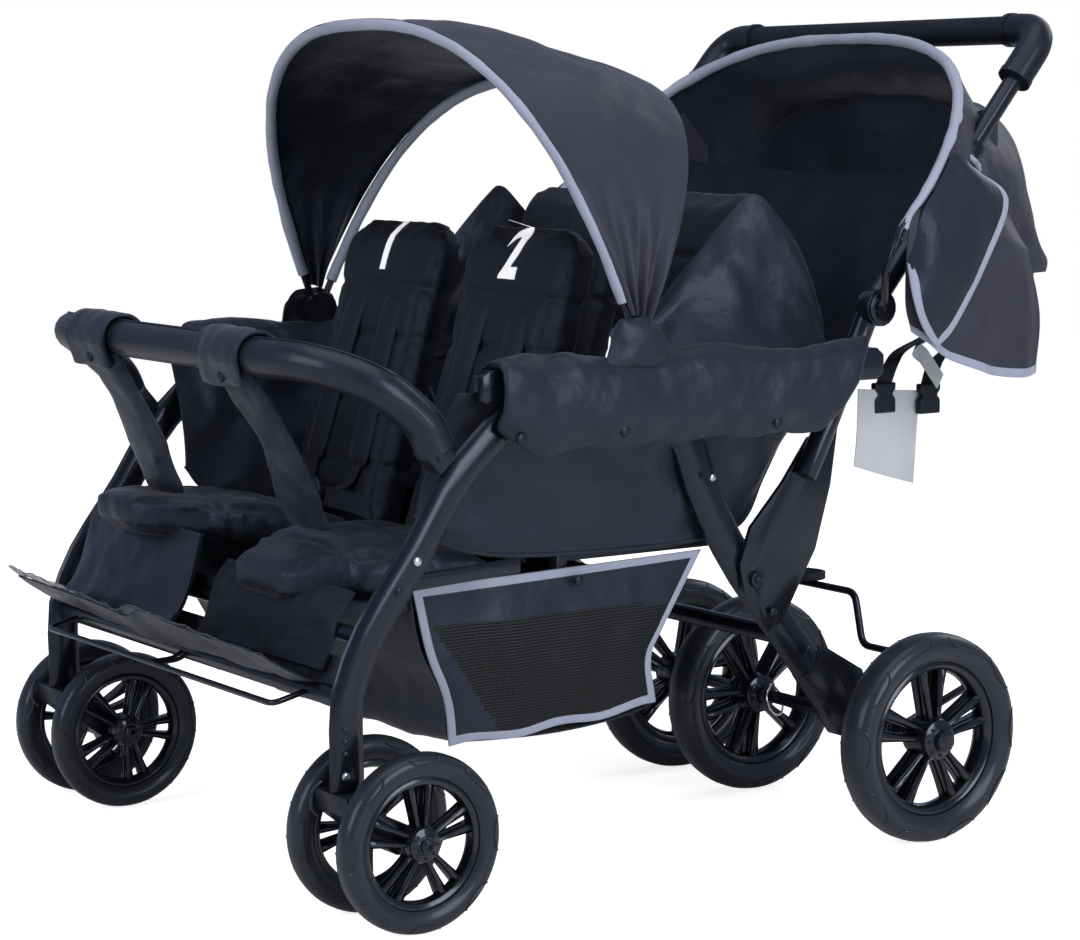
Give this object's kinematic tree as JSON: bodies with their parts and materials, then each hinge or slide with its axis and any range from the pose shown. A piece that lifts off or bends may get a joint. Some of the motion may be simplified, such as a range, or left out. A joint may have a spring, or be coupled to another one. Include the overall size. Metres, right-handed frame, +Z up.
{
  "type": "four-seat stroller",
  "caption": "Folding stroller with two rows of two seats, swivelling front wheels, padded bumper bar, two fabric canopies, basket, foot brake and sliding push handle",
  "frame": {"origin": "on the floor, under the middle of the whole stroller", "axes": "X across, towards the left side of a person who pushes; Y to the back; Z up"},
  "size_m": [0.8804, 1.1936, 0.9792],
  "materials": {
    "black_metal": "satin",
    "black_plastic": "satin",
    "tyre": "satin",
    "rubber": "matte",
    "foam": "matte",
    "leatherette": "satin",
    "fabric": "matte"
  },
  "bodies": {
    "frame": {"front_leg_left": "black_metal", "front_leg_right": "black_metal", "side_rail_left": "black_metal", "side_rail_right": "black_metal", "front_cross_tube": "black_metal", "seat_cross_tube": "black_metal", "seat_board": "black_plastic", "foot_sling": "fabric", "foot_wire": "black_metal", "front_seat_pad_left": "fabric", "front_seat_pad_right": "fabric", "rear_seat_pad_left": "fabric", "rear_seat_pad_right": "fabric", "side_bolster_left": "fabric", "side_bolster_right": "fabric", "side_panel_left": "fabric", "side_panel_right": "fabric", "basket": "fabric", "crotch_strap_left": "fabric", "crotch_strap_right": "fabric", "front_canopy_rear_hoop": "black_metal", "front_canopy": "fabric"},
    "front_back_left": {"front_seat_back_left": "fabric"},
    "front_back_right": {"front_seat_back_right": "fabric"},
    "rear_back_left": {"rear_seat_back_left": "fabric"},
    "rear_back_right": {"rear_seat_back_right": "fabric"},
    "bumper": {"bumper_bar": "leatherette"},
    "caster_left": {"caster_fork_left": "black_plastic"},
    "caster_right": {"caster_fork_right": "black_plastic"},
    "front_wheel_outer_left": {"front_rim_outer_left": "black_plastic", "front_tyre_outer_left": "tyre"},
    "front_wheel_outer_right": {"front_rim_outer_right": "black_plastic", "front_tyre_outer_right": "tyre"},
    "front_wheel_inner_left": {"front_rim_inner_left": "black_plastic", "front_tyre_inner_left": "tyre"},
    "front_wheel_inner_right": {"front_rim_inner_right": "black_plastic", "front_tyre_inner_right": "tyre"},
    "rear_wheel_outer_left": {"rear_rim_outer_left": "black_plastic", "rear_tyre_outer_left": "tyre"},
    "rear_wheel_outer_right": {"rear_rim_outer_right": "black_plastic", "rear_tyre_outer_right": "tyre"},
    "rear_wheel_inner_left": {"rear_rim_inner_left": "black_plastic", "rear_tyre_inner_left": "tyre"},
    "rear_wheel_inner_right": {"rear_rim_inner_right": "black_plastic", "rear_tyre_inner_right": "tyre"},
    "rear_frame": {"rear_leg_left": "black_metal", "rear_leg_right": "black_metal", "rear_axle": "black_metal", "rear_cross_tube": "black_metal"},
    "brake": {"brake_bar": "black_metal", "brake_pedal": "rubber"},
    "handle": {"handle_lower_left": "black_metal", "handle_lower_right": "black_metal", "rear_canopy_flap_left": "fabric", "rear_canopy_flap_right": "fabric", "rear_canopy": "fabric"},
    "grip": {"handle_upper": "black_metal", "handle_grip": "foam"},
    "canopy_hoop": {"front_canopy_front_hoop": "black_metal"},
    "hood_hoop": {"rear_canopy_hoop": "black_metal"}
  },
  "joints": [
    {"name": "frame_fold", "type": "hinge", "parent": "frame", "child": "rear_frame", "pos_m": [0, -0.0428, 0.52], "axis": [1, 0, 0], "range_deg": [-55, 0], "deforming": ["front_canopy", "rear_canopy", "rear_canopy_flap_left", "rear_canopy_flap_right", "front_canopy_front_hoop", "front_canopy_rear_hoop", "rear_canopy_hoop", "basket"]},
    {"name": "handle_fold", "type": "hinge", "parent": "rear_frame", "child": "handle", "pos_m": [0, 0.0692, 0.316], "axis": [1, 0, 0], "range_deg": [0, 121]},
    {"name": "handle_height", "type": "slide", "parent": "handle", "child": "grip", "axis": [0, 0.6445, 0.7646], "range_m": [-0.06, 0], "deforming": ["rear_canopy"]},
    {"name": "front_canopy_fold", "type": "hinge", "parent": "frame", "child": "canopy_hoop", "pos_m": [0, -0.1428, 0.6068], "axis": [1, 0, 0], "range_deg": [-40, 0], "deforming": ["front_canopy"]},
    {"name": "rear_canopy_fold", "type": "hinge", "parent": "handle", "child": "hood_hoop", "pos_m": [0, 0.2312, 0.63], "axis": [1, 0, 0], "range_deg": [0, 45], "deforming": ["rear_canopy", "rear_canopy_flap_left", "rear_canopy_flap_right"]},
    {"name": "bumper_swing", "type": "hinge", "parent": "frame", "child": "bumper", "pos_m": [0, -0.4015, 0.4769], "axis": [1, 0, 0], "range_deg": [0, 60], "deforming": ["crotch_strap_left", "crotch_strap_right"]},
    {"name": "brake_press", "type": "hinge", "parent": "rear_frame", "child": "brake", "pos_m": [0, 0.2472, 0.125], "axis": [1, 0, 0], "range_deg": [-10, 0]},
    {"name": "front_recline_left", "type": "hinge", "parent": "frame", "child": "front_back_left", "pos_m": [0, -0.2378, 0.3369], "axis": [1, 0, 0], "range_deg": [-12, 0]},
    {"name": "front_recline_right", "type": "hinge", "parent": "frame", "child": "front_back_right", "pos_m": [0, -0.2378, 0.3369], "axis": [1, 0, 0], "range_deg": [-12, 0]},
    {"name": "rear_recline_left", "type": "hinge", "parent": "frame", "child": "rear_back_left", "pos_m": [0, 0.0292, 0.3739], "axis": [1, 0, 0], "range_deg": [-20, 0]},
    {"name": "rear_recline_right", "type": "hinge", "parent": "frame", "child": "rear_back_right", "pos_m": [0, 0.0292, 0.3739], "axis": [1, 0, 0], "range_deg": [-20, 0]},
    {"name": "caster_swivel_left", "type": "hinge", "parent": "frame", "child": "caster_left", "pos_m": [0.343, -0.5138, 0.15], "axis": [0, 0, 1], "continuous": true},
    {"name": "caster_swivel_right", "type": "hinge", "parent": "frame", "child": "caster_right", "pos_m": [-0.343, -0.5138, 0.15], "axis": [0, 0, 1], "continuous": true},
    {"name": "front_spin_outer_left", "type": "hinge", "parent": "caster_left", "child": "front_wheel_outer_left", "pos_m": [0.3945, -0.4578, 0.097], "axis": [1, 0, 0], "continuous": true},
    {"name": "front_spin_outer_right", "type": "hinge", "parent": "caster_right", "child": "front_wheel_outer_right", "pos_m": [-0.3945, -0.4578, 0.097], "axis": [1, 0, 0], "continuous": true},
    {"name": "front_spin_inner_left", "type": "hinge", "parent": "caster_left", "child": "front_wheel_inner_left", "pos_m": [0.2915, -0.4578, 0.097], "axis": [1, 0, 0], "continuous": true},
    {"name": "front_spin_inner_right", "type": "hinge", "parent": "caster_right", "child": "front_wheel_inner_right", "pos_m": [-0.2915, -0.4578, 0.097], "axis": [1, 0, 0], "continuous": true},
    {"name": "rear_spin_outer_left", "type": "hinge", "parent": "rear_frame", "child": "rear_wheel_outer_left", "pos_m": [0.408, 0.2472, 0.125], "axis": [1, 0, 0], "continuous": true},
    {"name": "rear_spin_outer_right", "type": "hinge", "parent": "rear_frame", "child": "rear_wheel_outer_right", "pos_m": [-0.408, 0.2472, 0.125], "axis": [1, 0, 0], "continuous": true},
    {"name": "rear_spin_inner_left", "type": "hinge", "parent": "rear_frame", "child": "rear_wheel_inner_left", "pos_m": [0.077, 0.2472, 0.125], "axis": [1, 0, 0], "continuous": true},
    {"name": "rear_spin_inner_right", "type": "hinge", "parent": "rear_frame", "child": "rear_wheel_inner_right", "pos_m": [-0.077, 0.2472, 0.125], "axis": [1, 0, 0], "continuous": true}
  ],
  "couplings": [
    {"joint": "handle_fold", "follows": "frame_fold", "ratio": -2.2}
  ]
}
